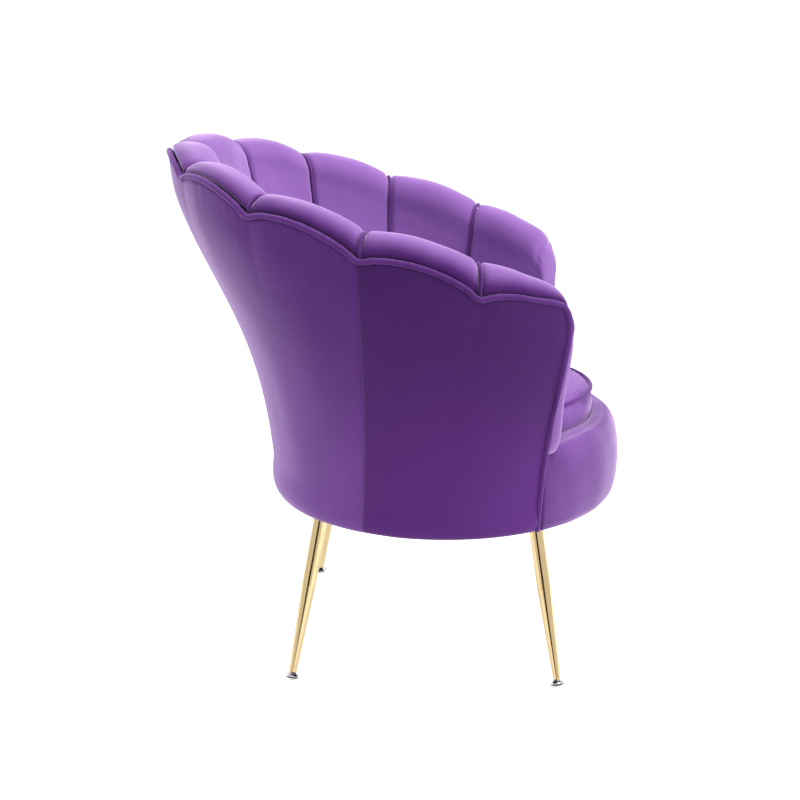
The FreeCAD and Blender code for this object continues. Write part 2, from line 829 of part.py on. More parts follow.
def lower_ring():
    ring = seat_ring(POST_FACE + FIT_GAP, RING_WIDTH, RING_BOTTOM, RING_THICK)
    for leg in leg_lines():
        for x, y in screw_places():
            ring = ring.cut(in_plate(leg, screw_hole(x, y)))
    return ring


# Loose round cushion, built about its own centre line

def cushion_levels():
    low = DECK_TOP + CUSHION_REST_GAP
    lower_cord = low + CUSHION_CORD / 2
    return low, lower_cord, lower_cord + CUSHION_BAND


def at_cushion(shape):
    placed = shape.copy()
    placed.translate(vec(0, CUSHION_CENTRE_Y, 0))
    return placed


def crowned(radius, edge_z, crown, thick):
    """Face between the centre line and a crowned top, closed down to thick below it."""
    top = [vec(0, 0, edge_z + crown), vec(radius * 0.55, 0, edge_z + 0.78 * crown), vec(radius, 0, edge_z)]
    arc = Part.Arc(*top).toShape()
    drop = vec(0, 0, -thick)
    low = Part.Arc(*[point + drop for point in top]).toShape()
    sides = [Part.makeLine(top[2], top[2] + drop), Part.makeLine(top[0] + drop, top[0])]
    face = Part.Face(Part.Wire([arc, sides[0], low, sides[1]]))
    return face.revolve(vec(0, 0, 0), vec(0, 0, 1), 360)


def cushion_parts():
    low, lower_cord, upper_cord = cushion_levels()
    cord = CUSHION_CORD / 2
    edge = CUSHION_RADIUS - cord
    panel = edge - cord - FIT_GAP
    band_low = lower_cord + cord + FIT_GAP
    band_high = upper_cord - cord - FIT_GAP
    cover = CUSHION_COVER_THICK

    def ring(outer, inner, bottom, top):
        return revolved([(inner, bottom), (outer, bottom), (outer, top), (inner, top)])

    band = ring(edge, edge - cover, band_low, band_high)
    middle = (band_low + band_high) / 2
    zip_low = middle - ZIP_WIDTH / 2
    section = Part.makePolygon([vec(r, 0, z) for r, z in (
        (edge - cover, zip_low), (edge, zip_low), (edge, zip_low + ZIP_WIDTH),
        (edge - cover, zip_low + ZIP_WIDTH), (edge - cover, zip_low))])
    zip_strip = Part.Face(section).revolve(vec(0, 0, 0), vec(0, 0, 1), ZIP_ANGLE)
    zip_strip.rotate(vec(0, 0, 0), vec(0, 0, 1), 90.0 - ZIP_ANGLE / 2)
    band = band.cut(zip_strip)

    top_panel = crowned(panel, upper_cord + cover / 2, CUSHION_CROWN, cover)
    core_side = edge - cord - FIT_GAP - 0.2
    core_low = low + cover + FIT_GAP
    core = Part.makeCylinder(core_side, upper_cord - cover - core_low, vec(0, 0, core_low))
    core_top = crowned(core_side, upper_cord - cover + 0.6, CUSHION_CROWN, upper_cord - cover - core_low)
    core = core.fuse(core_top).removeSplitter()

    def welt(z):
        return Part.makeTorus(edge, cord, vec(0, 0, z))

    bottom_panel = Part.makeCylinder(panel, cover, vec(0, 0, low))
    return {
        "cushion_core": at_cushion(core),
        "cushion_top_panel": at_cushion(top_panel),
        "cushion_band": at_cushion(band),
        "cushion_bottom_panel": at_cushion(bottom_panel),
        "cushion_cord_top": at_cushion(welt(upper_cord)),
        "cushion_cord_bottom": at_cushion(welt(lower_cord)),
        "cushion_zip": at_cushion(zip_strip),
    }


nodes = {}


def build_tub():
    for side, name in ((-1, "left"), (1, "right")):
        for number in range(1, CHANNELS_PER_SIDE + 1):
            nodes["channel_pad_%s_%d" % (name, number)] = channel_pad(side, number)
        nodes["arm_facing_%s" % name] = arm_facing(side)
        nodes["arm_front_post_%s" % name] = post(side * TIP, 0.14)
        nodes["side_post_%s" % name] = post(side * 3.0)
        nodes["back_post_%s" % name] = post(side * 1.0)
        nodes["outside_side_panel_%s" % name] = outer_cover(side * BACK_PANEL_CHANNELS, side * CHANNELS_PER_SIDE)
    nodes["outside_back_panel"] = outer_cover(-BACK_PANEL_CHANNELS, BACK_PANEL_CHANNELS)
    nodes["outer_liner"] = outer_liner()
    nodes["inner_shell"] = inner_shell()
    nodes["rim_rail"] = rim_rail()
    nodes["rim_cord"] = rim_cord()
    seams = range(1 - CHANNELS_PER_SIDE, CHANNELS_PER_SIDE)
    nodes["channel_cords"] = Part.makeCompound([channel_cord(u) for u in seams])


def build_seat():
    nodes["seat_ring_lower"] = lower_ring()
    nodes["seat_ring_upper"] = seat_ring(UPPER_RING_INSET, UPPER_RING_WIDTH, UPPER_RING_BOTTOM, RING_THICK)
    nodes["frame_blocks"] = frame_blocks()
    nodes["front_rail"] = front_rail()
    nodes["front_border_foam"] = front_border_foam()
    nodes["front_border_cover"] = front_border_cover()
    nodes["seat_springs"] = Part.makeCompound([zigzag_spring(x) for x in spring_places()])
    nodes["spring_clips"] = spring_clips()
    nodes["deck_sheet"] = deck_plate(DECK_SHEET_Z, DECK_SHEET_THICK)
    foam = DECK_SHEET_Z + DECK_SHEET_THICK
    nodes["deck_foam"] = deck_plate(foam, DECK_TOP - foam)
    nodes["dust_cover"] = dust_cover()


def build_legs():
    legs = leg_lines()
    nodes["leg_plates"] = Part.makeCompound([leg_plate(leg) for leg in legs])
    nodes["leg_screws"] = leg_screws()
    nodes["foot_inserts"] = Part.makeCompound([foot_insert(leg) for leg in legs])
    for leg in legs:
        nodes["leg_tube_%s" % leg[0]] = leg_tube(leg)
        nodes["glide_%s" % leg[0]] = glide(leg)
        nodes["glide_sole_%s" % leg[0]] = glide_sole(leg)


build_tub()
build_seat()
build_legs()
nodes.update(cushion_parts())
os.makedirs("parts", exist_ok=True)
for name, shape in nodes.items():
    shape.exportStep("parts/%s.step" % name)
    print(name, shape.isValid(), len(shape.Solids), round(shape.Volume / 1000.0, 1), flush=True)
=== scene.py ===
import json
import math

import bmesh
import bpy
from mathutils import Matrix, Vector, noise


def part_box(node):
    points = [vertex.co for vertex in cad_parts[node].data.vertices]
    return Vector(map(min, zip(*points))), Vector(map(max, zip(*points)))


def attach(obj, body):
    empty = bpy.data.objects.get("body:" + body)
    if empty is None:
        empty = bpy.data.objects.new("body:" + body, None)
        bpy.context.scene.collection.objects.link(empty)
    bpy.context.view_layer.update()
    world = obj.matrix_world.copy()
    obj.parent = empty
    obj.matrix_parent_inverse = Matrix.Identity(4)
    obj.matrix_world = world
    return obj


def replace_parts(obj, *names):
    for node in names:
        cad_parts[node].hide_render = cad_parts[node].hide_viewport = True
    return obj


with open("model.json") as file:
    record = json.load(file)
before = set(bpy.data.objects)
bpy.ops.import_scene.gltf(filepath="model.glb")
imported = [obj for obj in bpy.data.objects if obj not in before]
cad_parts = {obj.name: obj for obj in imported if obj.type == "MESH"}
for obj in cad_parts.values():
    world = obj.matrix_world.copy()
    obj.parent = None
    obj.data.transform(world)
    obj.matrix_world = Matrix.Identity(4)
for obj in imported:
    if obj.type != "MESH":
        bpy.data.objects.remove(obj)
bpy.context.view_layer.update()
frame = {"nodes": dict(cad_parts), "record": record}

bl_info = {
    "name": "Scallop Back Chair",
    "version": (1, 0, 0),
    "blender": (4, 5, 0),
    "location": "3D View > Sidebar > Chair",
    "description": "Upholsters the frame of a scalloped tub chair and sets its stage",
    "category": "Object",
}

# Metres. Up is +Z, the front of the chair is -Y and its origin is on the floor.
# The padded wall is laid out along u, which counts channels from the centre back seam.
BODY_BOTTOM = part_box("outside_back_panel")[0].z
DECK_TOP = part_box("deck_foam")[1].z
BASE_CENTRE_Y = -0.070
BASE_HALF_WIDTH = 0.277
BASE_HALF_DEPTH = 0.253
RIM_HALF_WIDTH = 0.348
RIM_HALF_DEPTH = 0.330
RIM_MID_HEIGHT = 0.619
RIM_SLOPE = 0.329
ARM_TIP_SPREAD = 0.053
ARM_TIP_SETBACK = 0.009
CORD_RISE = 0.018
ARM_TIP_RISE = 0.35
ROLL_RISE = 0.012
ROLL_HEIGHT = 0.037
ROLL_HEIGHT_SLOPE = 0.056
WALL_AT_RIM = 0.062
WALL_AT_DECK = 0.062
WALL_AT_ARM = 0.048
CHANNEL_PUFF = 0.009
CHANNELS = 5
BACK_PANEL_CHANNELS = 3
ARM_REACH = 0.029
ARM_THINNING = 0.60
ARM_DROP = 0.022
ARM_TIP_DROP = 0.004
CORNER = 0.06
CORNER_CURVE = 1.4
ARM_ROUND = 0.013
ARM_SPREAD = 0.014
PAD_BACK = 0.036
SKIN_SEAT = 0.007
BORDER_BULGE = 0.013
BORDER_TOP = 0.352
BORDER_END_DROP = 0.014
BORDER_LIP = 0.046
BORDER_HALF_ANGLE = 56.0
BORDER_BACK = 0.012
CHANNEL_WIDTH = 0.165
SEAM_ROUND = 0.8
FULL_TURN = 2.0 * math.pi
UNIFORM = (1.0, 1.0, 1.0)
WRINKLE_LENGTH = 0.006

# Mesh density: columns go along the wall, rows go round a section
SMOOTH_STEPS = 6
CHANNEL_COLUMNS = 32
ARM_COLUMNS = 56
ARM_BEND = 0.60
CHANNEL_ROWS = (96, 14)
CHANNEL_CROWDING = 0.055
ARM_CROWDING = 0.04
BORDER_COLUMNS = 120
BORDER_ROWS = (60, 12)
PANEL_COLUMNS = 26
PANEL_ROWS = 70
ROUND_CORD = 12
RIM_CORD_STEPS = 760
SEAM_CORD_STEPS = 90
CUSHION_STEPS = 132
CUSHION_ROWS = 90
DECK_STEPS = 96

# The stage; each lamp has a name, a place, a diameter and a power in watts
CAMERA_PLACE = (-2.420, -0.110, 0.9785)
CAMERA_AIM = (0.968, 0.0423, -0.247)
CAMERA_LENS = 73.85
LAMP_AIM = Vector((0.0, 0.0, 0.45))
LAMPS = (
    ("Softbox over", (0.3, -0.2, 2.6), 1.8, 52.0),
    ("Softbox behind", (0.9, 2.3, 1.5), 1.6, 34.0),
    ("Softbox front", (-0.2, -2.7, 1.5), 1.5, 60.0),
    ("Softbox camera side", (-2.4, -0.6, 2.4), 1.2, 16.0),
)
FLOOR_SIZE = 40.0
CARD_SIZE = (2.6, 1.5, 1.0)
CARD_PLACE = (-3.1, 0.30, 1.42)


def turned(degrees):
    """Sine and cosine of an angle, as the X and Y of a direction from the back of the chair."""
    return Vector((math.sin(math.radians(degrees)), math.cos(math.radians(degrees)), 0.0))


# The wall's shape

def base_point(u):
    way = turned(20.0 * u + 0.18 * u ** 3)
    return Vector((BASE_HALF_WIDTH * way.x, BASE_CENTRE_Y + BASE_HALF_DEPTH * way.y, 0.0))


def rim_point(u):
    way = turned(28.0 * u)
    forward = max(0.0, (abs(u) - 3.0) / 2.0) ** 3
    x = RIM_HALF_WIDTH * way.x + math.copysign(ARM_TIP_SPREAD * forward, u)
    return Vector((x, RIM_HALF_DEPTH * way.y + ARM_TIP_SETBACK * forward, 0.0))


def outward(u):
    return turned(28.8 * u - 0.21 * u ** 3)


def valley_height(u):
    return RIM_MID_HEIGHT + RIM_SLOPE * rim_point(u).y


def skin(u, z, depth):
    """A point `depth` inside the outer skin, at channel place u and height z."""
    base = base_point(u)
    lean = rim_point(u) - base
    t = (z - BODY_BOTTOM) / (valley_height(u) - BODY_BOTTOM)
    flare = 0.3 * t + 0.7 * math.sin(0.5 * math.pi * max(t, 0.0) ** 1.55) ** 2
    away = outward(u)
    point = base + lean * t + away * ((flare - t) * lean.dot(away) - depth)
    point.z = z
    return point


def wall_normal(u):
    """Normal of the wall's cross-section at u, pointing towards larger u."""
    lean = rim_point(u) - base_point(u)
    lean.z = valley_height(u) - BODY_BOTTOM
    return lean.cross(outward(u)).normalized()


def puff(u):
    """Plumpness of the face of a channel, 0 at its seams and 1 in its middle."""
    if abs(u) >= CHANNELS:
        return 0.0
    return math.sin(math.pi * (abs(u) % 1.0)) ** SEAM_ROUND


def scallop(u):
    """Rise of the rim: 0 at each seam and at the arm's front, 1 in the middle of a channel."""
    if CHANNELS - 0.5 < abs(u) < CHANNELS:
        forward = 2.0 * (abs(u) % 1.0) - 1.0
        return (1.0 + ARM_TIP_RISE * forward) * math.sqrt(1.0 - forward ** 5)
    return puff(u)


def cord_height(u):
    return valley_height(u) + CORD_RISE * scallop(u)


def rim_height(u):
    """Height of the rim cord's seam, which turns down into the arm's front."""
    turn = min(1.0, max(0.0, abs(u) - CHANNELS + CORNER) / CORNER)
    last = CHANNELS - CORNER
    if turn <= 0.0:
        return cord_height(u)
    tip = valley_height(CHANNELS) - ARM_TIP_DROP
    return cord_height(last) + (tip - cord_height(last)) * turn ** CORNER_CURVE


def roll_top(u):
    """Top of the stuffed roll, which thins out along the last channel to the arm's front."""
    height = ROLL_HEIGHT - ROLL_HEIGHT_SLOPE * rim_point(u).y + (ROLL_RISE - CORD_RISE) * scallop(u)
    thinned = 1.0 - ARM_THINNING * min(1.0, max(0.0, abs(u) - (CHANNELS - 1)))
    return cord_height(u) + height * thinned


def wall(u, z):
    """Full thickness of the padded wall at height z."""
    share = min(1.0, max(0.0, (z - DECK_TOP) / (valley_height(u) - DECK_TOP)))
    low = WALL_AT_DECK + (WALL_AT_ARM - WALL_AT_DECK) * (abs(u) / CHANNELS) ** 4
    return low + (WALL_AT_RIM - low) * share + CHANNEL_PUFF * puff(u)


def roll_run(u):
    """Depth and height of the visible face of a channel, from the rim cord to the deck."""
    start = rim_height(u) + 0.002
    top = roll_top(u)
    thick = wall(u, top)
    low = valley_height(u) - 0.012
    run = [
        (SKIN_SEAT, start),
        (0.0045, start + 0.4 * (top - start)),
        (0.012, start + 0.8 * (top - start)),
        (0.5 * thick, top),
        (thick - 0.012, top - 0.008),
        (thick - 0.002, top - 0.022),
    ]
    levels = [low - (low - DECK_TOP) * i / 4.0 for i in range(5)]
    return run + [(wall(u, z), z) for z in levels]


def base_place(angle, out, z):
    """Point on the base outline, `out` outside it, at an angle from the back."""
    way = turned(angle)
    away = Vector((BASE_HALF_DEPTH * way.x, BASE_HALF_WIDTH * way.y, 0.0)).normalized()
    return Vector((BASE_HALF_WIDTH * way.x, BASE_CENTRE_Y + BASE_HALF_DEPTH * way.y, z)) + away * out


# Lines, grids and tubes

def smooth_line(points, count):
    """count + 1 evenly spaced places on a smooth line through points."""
    gaps = [max(1e-6, (b - a).length) for a, b in zip(points, points[1:])]
    ways = [(b - a) / gap for a, b, gap in zip(points, points[1:], gaps)]
    tangents = [ways[0]]
    for i in range(1, len(points) - 1):
        tangents.append((ways[i - 1] * gaps[i] + ways[i] * gaps[i - 1]) / (gaps[i - 1] + gaps[i]))
    tangents.append(ways[-1])
    dense = []
    for i, gap in enumerate(gaps):
        for step in range(SMOOTH_STEPS):
            t = step / SMOOTH_STEPS
            dense.append(
                points[i] * (2 * t ** 3 - 3 * t ** 2 + 1) + tangents[i] * gap * (t ** 3 - 2 * t ** 2 + t)
                + points[i + 1] * (3 * t ** 2 - 2 * t ** 3) + tangents[i + 1] * gap * (t ** 3 - t ** 2)
            )
    dense.append(points[-1].copy())
    return even_steps(dense, count)


def even_steps(dense, count):
    reached = [0.0]
    for a, b in zip(dense, dense[1:]):
        reached.append(reached[-1] + (b - a).length)
    places = []
    i = 0
    for step in range(count + 1):
        goal = reached[-1] * step / count
        while i < len(dense) - 2 and reached[i + 1] < goal:
            i += 1
        span = max(1e-9, reached[i + 1] - reached[i])
        places.append(dense[i].lerp(dense[i + 1], min(1.0, (goal - reached[i]) / span)))
    return places


def line_length(points):
    return sum((b - a).length for a, b in zip(points, points[1:]))


def raised(line, plane, outwards, lift, check=0.0):
    """The line moved out of the face by lift(share); outwards is the face's side at share check."""
    last = len(line) - 1
    sides = []
    for i in range(last + 1):
        tangent = line[min(i + 1, last)] - line[max(i - 1, 0)]
        sides.append(plane.cross(tangent).normalized())
    flip = 1.0 if sides[round(check * last)].dot(outwards) >= 0 else -1.0
    return [point + side * (flip * lift(i / last)) for i, (point, side) in enumerate(zip(line, sides))]


def grid(columns, rows, line_at, cloth):
    """Grid whose column at share a lies along line_at(a); cloth is its size as flat fabric."""
    work = bmesh.new()
    flat = work.loops.layers.uv.new("UVMap")
    bmesh.ops.create_grid(work, x_segments=columns, y_segments=rows, size=0.5)
    lines = [line_at(i / columns) for i in range(columns + 1)]
    shares = {}
    for vert in work.verts:
        shares[vert] = (vert.co.x + 0.5, vert.co.y + 0.5)
    for vert, (a, b) in shares.items():
        vert.co = lines[round(a * columns)][round(b * rows)]
    for face in work.faces:
        for loop in face.loops:
            a, b = shares[loop.vert]
            loop[flat].uv = (a * cloth[0], b * cloth[1])
    return work


def finished(work, name, merge=1e-5, cap=True):
    """Object from a bmesh, with its doubles merged, its ends closed and its faces outwards."""
    bmesh.ops.remove_doubles(work, verts=work.verts, dist=merge)
    if cap:
        edges = [edge for edge in work.edges if edge.is_boundary]
        bmesh.ops.holes_fill(work, edges=edges, sides=0)
    bmesh.ops.recalc_face_normals(work, faces=work.faces)
    for face in work.faces:
        face.smooth = True
    mesh = bpy.data.meshes.new(name)
    work.to_mesh(mesh)
    work.free()
    piece = bpy.data.objects.new(name, mesh)
    bpy.context.scene.collection.objects.link(piece)
    return piece


def tube(path, radius, crimp, closed=False, seed=0.0):
    """Welt cord along a path, with the slight crimps of cloth sewn round a cord."""
    count = len(path) - 1
    tangents = []
    for i in range(count + 1):
        if closed:
            tangents.append((path[(i + 1) % count] - path[(i - 1) % count]).normalized())
        else:
            tangents.append((path[min(i + 1, count)] - path[max(i - 1, 0)]).normalized())
    side = Vector((0.0, 0.0, 1.0)) if closed else tangents[0].orthogonal().normalized()
    rings = []
    for i, tangent in enumerate(tangents):
        side = (side - tangent * side.dot(tangent)).normalized()
        rings.append((side.copy(), tangent.cross(side)))
    along = line_length(path)

    def ring_at(share):
        i = round(share * count)
        across, up = rings[i]
        place = 0.0 if closed and i == count else i * along / count
        ring = []
        for j in range(ROUND_CORD + 1):
            angle = FULL_TURN * (j % ROUND_CORD) / ROUND_CORD
            cosine, sine = math.cos(angle), math.sin(angle)
            bump = noise.noise(Vector((place / WRINKLE_LENGTH, 1.7 * cosine, 1.7 * sine + seed)))
            far = radius * (1.0 + crimp * bump)
            ring.append(path[i] + across * (far * cosine) + up * (far * sine))
        return ring

    return grid(count, ROUND_CORD, ring_at, (along, FULL_TURN * radius))


def join_work(parts):
    """One bmesh that holds several."""
    whole = bmesh.new()
    for part in parts:
        mesh = bpy.data.meshes.new("part")
        part.to_mesh(mesh)
        part.free()
        whole.from_mesh(mesh)
        bpy.data.meshes.remove(mesh)
    return whole


def smoothed(piece):
    modifier = piece.modifiers.new("Smooth", "SUBSURF")
    modifier.levels = 1
    modifier.render_levels = 1
    return piece


def dressed(piece, finish, body="chair"):
    piece.data.materials.append(finish)
    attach(piece, body)
    return piece


# Shader maths

class Value:
    """An output of a material's node; arithmetic on it adds Math nodes."""

    def __init__(self, finish, socket):
        self.finish = finish
        self.socket = socket

    def sum_of(self, operation, first, second):
        return self.finish.node("ShaderNodeMath", {"operation": operation}, {0: first, 1: second})

    def __add__(self, other):
        return self.sum_of("ADD", self, other)

    def __radd__(self, other):
        return self.sum_of("ADD", other, self)

    def __sub__(self, other):
        return self.sum_of("SUBTRACT", self, other)

    def __rsub__(self, other):
        return self.sum_of("SUBTRACT", other, self)

    def __mul__(self, other):
        return self.sum_of("MULTIPLY", self, other)

    def __rmul__(self, other):
        return self.sum_of("MULTIPLY", other, self)


class Finish:
    """A material built around one Principled shader."""

    def __init__(self, name):
        self.material = bpy.data.materials.new(name)
        self.material.use_nodes = True
        self.tree = self.material.node_tree
        self.tree.nodes.clear()
        self.shader = self.tree.nodes.new("ShaderNodeBsdfPrincipled")
        output = self.tree.nodes.new("ShaderNodeOutputMaterial")
        self.tree.links.new(self.shader.outputs[0], output.inputs["Surface"])

    def node(self, kind, settings=None, inputs=None, output=0):
        made = self.tree.nodes.new(kind)
        for name, setting in (settings or {}).items():
            setattr(made, name, setting)
        self.fill(made, inputs or {})
        return Value(self, made.outputs[output])

    def fill(self, made, inputs):
        for name, value in inputs.items():
            if isinstance(value, Value):
                self.tree.links.new(value.socket, made.inputs[name])
            elif made.inputs[name].type == "RGBA" and len(value) == 3:
                made.inputs[name].default_value = (*value, 1.0)
            else:
                made.inputs[name].default_value = value

    def set(self, **inputs):
        self.fill(self.shader, {name.replace("_", " "): value for name, value in inputs.items()})

    def place(self, scale=UNIFORM, own_map=False):
        """Object coordinates, or the piece's own flat cloth map, stretched by scale."""
        source = self.node("ShaderNodeTexCoord", output=2 if own_map else 3)
        return self.node("ShaderNodeMapping", inputs={"Vector": source, "Scale": scale})

    def noise(self, place, scale, detail=3.0, roughness=0.5):
        return self.node("ShaderNodeTexNoise", inputs={
            "Vector": place, "Scale": scale, "Detail": detail, "Roughness": roughness})

    def between(self, value, low, high, new_low=0.0, new_high=1.0):
        return self.node("ShaderNodeMapRange", inputs={
            "Value": value, "From Min": low, "From Max": high, "To Min": new_low, "To Max": new_high})

    def mix(self, share, first, second):
        return self.node("ShaderNodeMix", {"data_type": "RGBA"}, {0: share, 6: first, 7: second}, output=2)

    def bump(self, height, distance, strength=1.0):
        return self.node("ShaderNodeBump", inputs={
            "Height": height, "Distance": distance, "Strength": strength})


def shaded(colour, share):
    return tuple(share * c for c in colour)


def velvet(name, colours, own_map=True, sheen=1.0, painted_light_span=None):
    """Short-pile velvet: brushed patches, faint streaks and a lilac sheen.

    The last argument gives the distances up the cloth over which the colour turns from deep to light:
    painted shade at one end, painted light at the other.
    """
    deep, light = colours
    looks = bpy.context.scene.chair_finish
    finish = Finish(name)
    brushed = finish.noise(finish.place(), 7.0, 4.0, 0.55)
    streak_scale = (220.0, 14.0, 1.0) if own_map else (160.0, 160.0, 10.0)
    streaks = finish.noise(finish.place(streak_scale, own_map), 1.0, 2.0)
    pile = finish.noise(finish.place(), 900.0, 1.0)
    nubs = finish.noise(finish.place(), 260.0, 2.0)
    patches = finish.between(brushed, 0.34, 0.66)
    patches_and_painted_light = patches * 0.70 + finish.between(streaks, 0.3, 0.7) * 0.10 + pile * 0.12
    # Painted shade and painted light: the colour turns from deep to light between two distances up the
    # cloth.
    if painted_light_span:
        own_place = finish.place(own_map=True)
        up_cloth = finish.node("ShaderNodeSeparateXYZ", inputs={0: own_place}, output=1)
        painted_light_ramp = finish.node(
            "ShaderNodeMapRange", {"interpolation_type": "SMOOTHSTEP"},
            {"Value": up_cloth + brushed * 0.03 - 0.015, "From Min": painted_light_span[0], "From Max": painted_light_span[1]})
        patches_and_painted_light = painted_light_ramp * 0.75 + patches_and_painted_light * 0.35 - 0.05
    finish.set(
        Base_Color=finish.mix(patches_and_painted_light, deep, light),
        Roughness=finish.between(brushed, 0.3, 0.7, 0.78, 0.92),
        Specular_IOR_Level=0.2,
        Sheen_Weight=sheen * looks.sheen,
        Sheen_Roughness=looks.sheen_roughness,
        Sheen_Tint=(*looks.sheen_tint, 1.0),
        Normal=finish.bump(pile * 0.7 + nubs * 0.6, 0.0006, 0.5),
    )
    return finish.material


def plated(name, colour, roughness):
    """Polished plating with the faint lengthwise lines of drawn tube."""
    finish = Finish(name)
    lines = finish.noise(finish.place((700.0, 700.0, 30.0)), 1.0, 2.0)
    smudges = finish.noise(finish.place(), 45.0, 3.0)
    finish.set(
        Base_Color=finish.mix(finish.between(smudges, 0.35, 0.7), colour, shaded(colour, 0.93)),
        Metallic=1.0,
        Roughness=finish.between(smudges, 0.3, 0.7, roughness, roughness + 0.05),
        Normal=finish.bump(lines, 0.00008, 0.25),
    )
    return finish.material


def plywood():
    finish = Finish("Plywood")
    grain = finish.noise(finish.place((6.0, 90.0, 420.0)), 1.0, 4.0)
    finish.set(
        Base_Color=finish.mix(finish.between(grain, 0.3, 0.7), (0.52, 0.36, 0.20), (0.74, 0.58, 0.38)),
        Roughness=0.72,
        Normal=finish.bump(grain, 0.0003, 0.6),
    )
    return finish.material


def fibre_board():
    finish = Finish("Fibre board")
    chips = finish.noise(finish.place(), 320.0, 3.0)
    finish.set(
        Base_Color=finish.mix(chips, (0.30, 0.20, 0.12), (0.52, 0.40, 0.27)),
        Roughness=0.85,
        Normal=finish.bump(chips, 0.0004, 0.7),
    )
    return finish.material


def foam():
    finish = Finish("Cut foam")
    cells = finish.node("ShaderNodeTexVoronoi", inputs={"Vector": finish.place(), "Scale": 650.0})
    finish.set(
        Base_Color=finish.mix(cells, (0.70, 0.62, 0.40), (0.86, 0.80, 0.62)),
        Roughness=0.95,
        Normal=finish.bump(cells, 0.0006, 0.8),
    )
    return finish.material


def lining():
    """Black non-woven cloth with its pressed dimples."""
    finish = Finish("Black lining")
    place = finish.place()
    dimples = finish.node(
        "ShaderNodeTexVoronoi", inputs={"Vector": place, "Scale": 420.0, "Randomness": 0.15})
    fibres = finish.noise(place, 90.0, 4.0)
    finish.set(
        Base_Color=finish.mix(fibres, (0.012, 0.012, 0.014), (0.035, 0.034, 0.038)),
        Roughness=0.93,
        Normal=finish.bump(dimples, 0.0004, 0.6),
    )
    return finish.material


def moulded(name, colour):
    finish = Finish(name)
    grain = finish.noise(finish.place(), 1400.0, 2.0)
    finish.set(
        Base_Color=finish.mix(grain, colour, shaded(colour, 0.75)),
        Roughness=finish.between(grain, 0.3, 0.7, 0.55, 0.7),
        Normal=finish.bump(grain, 0.0002, 0.5),
    )
    return finish.material


# Sizes and colours that a user would change

def size_setting(name, description, default):
    return bpy.props.FloatProperty(name=name, description=description, default=default, unit="LENGTH")


def colour_setting(name, description, default):
    return bpy.props.FloatVectorProperty(
        name=name, description=description, default=default, subtype="COLOR", size=3)


class ChairShape(bpy.types.PropertyGroup):
    rim_cord: size_setting("Rim cord", "Diameter of the welt cord round the rim", 0.0082)
    seam_cord: size_setting("Seam cord", "Diameter of the cords between channels", 0.0052)
    cushion_cord: size_setting("Cushion cord", "Diameter of the cushion's welt cords", 0.0066)
    tuck: size_setting("Seam tuck", "How deep a cover dives into a seam", 0.007)
    tuck_reach: size_setting("Tuck reach", "Half width of the groove at a seam", 0.0050)
    pucker: size_setting("Pucker", "Height of the gathers beside a seam", 0.0011)
    waviness: size_setting("Waviness", "Height of the slow unevenness of the stuffing", 0.0016)
    cover: size_setting("Cover", "Thickness of the outside cover", 0.0018)


class ChairFinish(bpy.types.PropertyGroup):
    # The deep and light velvet colours are mixed by random brushed patches, and also as painted shade and
    # painted light by the ramps up the cloth.
    velvet_deep: colour_setting("Velvet, deep", "Velvet brushed away from the eye", (0.050, 0.0078, 0.096))
    velvet_light: colour_setting("Velvet, light", "Velvet brushed towards the eye", (0.104, 0.0215, 0.186))
    # Painted light: how many times lighter the outside back's velvet is made than the sides'.
    painted_back_light: bpy.props.FloatProperty(
        name="Painted back light", description="Brightness of the outside back against the sides", default=1.5)
    sheen: bpy.props.FloatProperty(
        name="Sheen", description="Strength of the velvet's sheen", default=1.0, subtype="FACTOR")
    sheen_roughness: bpy.props.FloatProperty(
        name="Sheen spread", description="How far the sheen reaches from the edges", default=0.36,
        subtype="FACTOR")
    sheen_tint: colour_setting("Sheen tint", "Colour of the sheen", (0.88, 0.66, 1.0))
    gold: colour_setting("Gold", "Pale gold plating of the legs", (0.66, 0.50, 0.27))
    chrome: colour_setting("Chrome", "Plating of the glides", (0.72, 0.71, 0.70))
    background: colour_setting("Background", "Colour of the floor and the space behind", (1.0, 1.0, 1.0))


def velvet_pair(share=1.0, painted_sheen_amount=0.0):
    """The two velvet colours, made lighter as painted light, and the light one paler as painted sheen."""
    looks = bpy.context.scene.chair_finish
    # Painted sheen: a pale lavender added to the light colour.
    painted_sheen_colour = Vector((0.085, 0.085, 0.070)) * painted_sheen_amount
    return [tuple(share * Vector(looks.velvet_deep)), tuple(share * Vector(looks.velvet_light) + painted_sheen_colour)]


# Padded pieces

def seam_side(u):
    """Distance from the nearest seam, in metres of rim."""
    return abs(u - round(u)) * CHANNEL_WIDTH


def unevenness(u, share):
    """Slow waves of the stuffing and short gathers beside the seams."""
    shape = bpy.context.scene.chair_shape
    side = seam_side(u)
    slow = noise.noise(Vector((u * 2.6, share * 6.0, 3.1)))
    gather = noise.noise(Vector((share * 46.0, math.floor(u) + 0.5, 8.0 + 9.0 * side)))
    return shape.waviness * slow + shape.pucker * gather * math.exp(-side / 0.016)


def ahead_of_arm(u, ahead, z):
    """Channel place in front of the arm's front at height z: ahead metres low down, less at its top."""
    step = 0.02
    height = max(0.0, z - DECK_TOP) / (valley_height(CHANNELS) - DECK_TOP)
    ahead *= 1.0 - 0.45 * min(1.15, height) ** 3
    along = (skin(CHANNELS, z, 0.0) - skin(CHANNELS - step, z, 0.0)).length / step
    return u + math.copysign(ahead / along, u)


